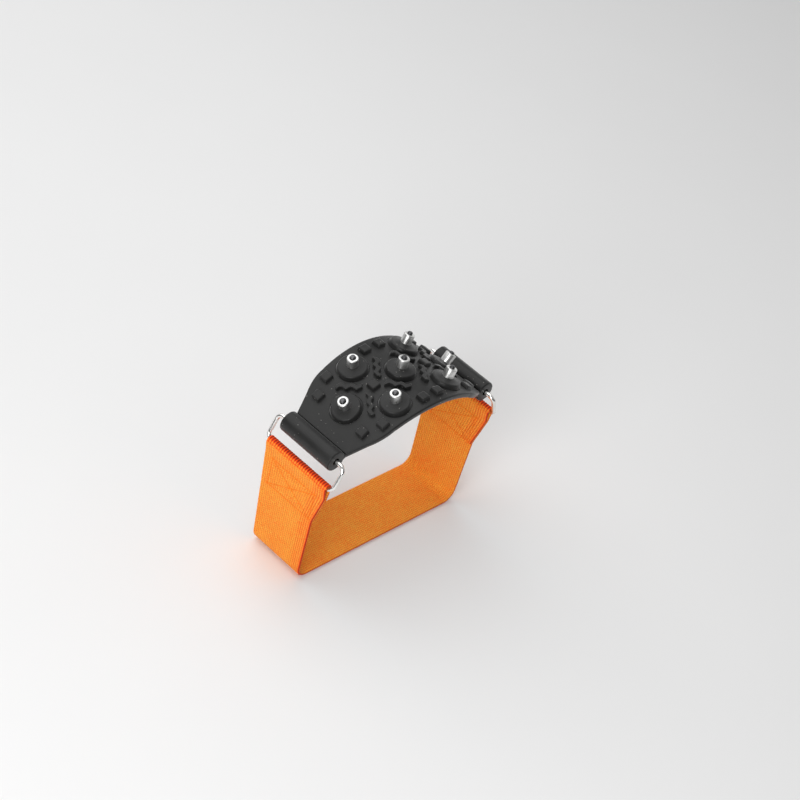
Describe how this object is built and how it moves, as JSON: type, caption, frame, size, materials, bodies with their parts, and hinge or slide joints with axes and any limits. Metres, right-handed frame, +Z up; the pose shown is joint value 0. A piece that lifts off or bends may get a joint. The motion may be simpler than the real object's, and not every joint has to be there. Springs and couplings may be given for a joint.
{
  "type": "instep crampon",
  "caption": "Bent rubber pad with carbide-tipped steel studs, hinged on wire rings to an elastic strap that loops round a boot's instep and arch for grip on ice.",
  "frame": {"origin": "under the middle of the strap, on the surface that the strap rests on", "axes": "+Z up through the middle of the pad, +X towards the toe and along every hinge, +Y across the foot to the far side of the picture"},
  "size_m": [0.057, 0.1328, 0.1159],
  "materials": {
    "rubber": "matt moulded black rubber",
    "ring_wire": "bright nickel-plated wire",
    "webbing": "orange woven elastic webbing",
    "thread": "orange polyester thread",
    "stud_steel": "bright turned steel",
    "carbide": "dark grey tungsten carbide"
  },
  "bodies": {
    "strap": {"strap": "webbing", "near_seam": "thread", "far_seam": "thread"},
    "near_ring": {"near_ring": "ring_wire"},
    "pad": {"pad": "rubber", "stud_1": "stud_steel", "stud_2": "stud_steel", "stud_3": "stud_steel", "stud_4": "stud_steel", "stud_5": "stud_steel", "stud_6": "stud_steel", "stud_7": "stud_steel", "carbide_tip_1": "carbide", "carbide_tip_2": "carbide", "carbide_tip_3": "carbide", "carbide_tip_4": "carbide", "carbide_tip_5": "carbide", "carbide_tip_6": "carbide", "carbide_tip_7": "carbide"},
    "far_ring": {"far_ring": "ring_wire"}
  },
  "joints": [
    {"name": "near_fold_pivot", "type": "hinge", "parent": "strap", "child": "near_ring", "pos_m": [0, -0.06308, 0.06848], "axis": [1, 0, 0], "range_deg": [-15, 15], "stiffness_Nm_per_rad": 0.084, "springref_deg": 0.01},
    {"name": "near_sleeve_pivot", "type": "hinge", "parent": "near_ring", "child": "pad", "pos_m": [0, -0.05764, 0.08192], "axis": [1, 0, 0], "range_deg": [-16.5, 16.5]},
    {"name": "far_fold_pivot", "type": "hinge", "parent": "strap", "child": "far_ring", "pos_m": [0, 0.06308, 0.06848], "axis": [1, 0, 0], "range_deg": [-15, 15]}
  ],
  "couplings": [
    {"joint": "near_sleeve_pivot", "follows": "near_fold_pivot", "ratio": -1.095},
    {"joint": "far_fold_pivot", "follows": "near_fold_pivot", "ratio": 1}
  ]
}
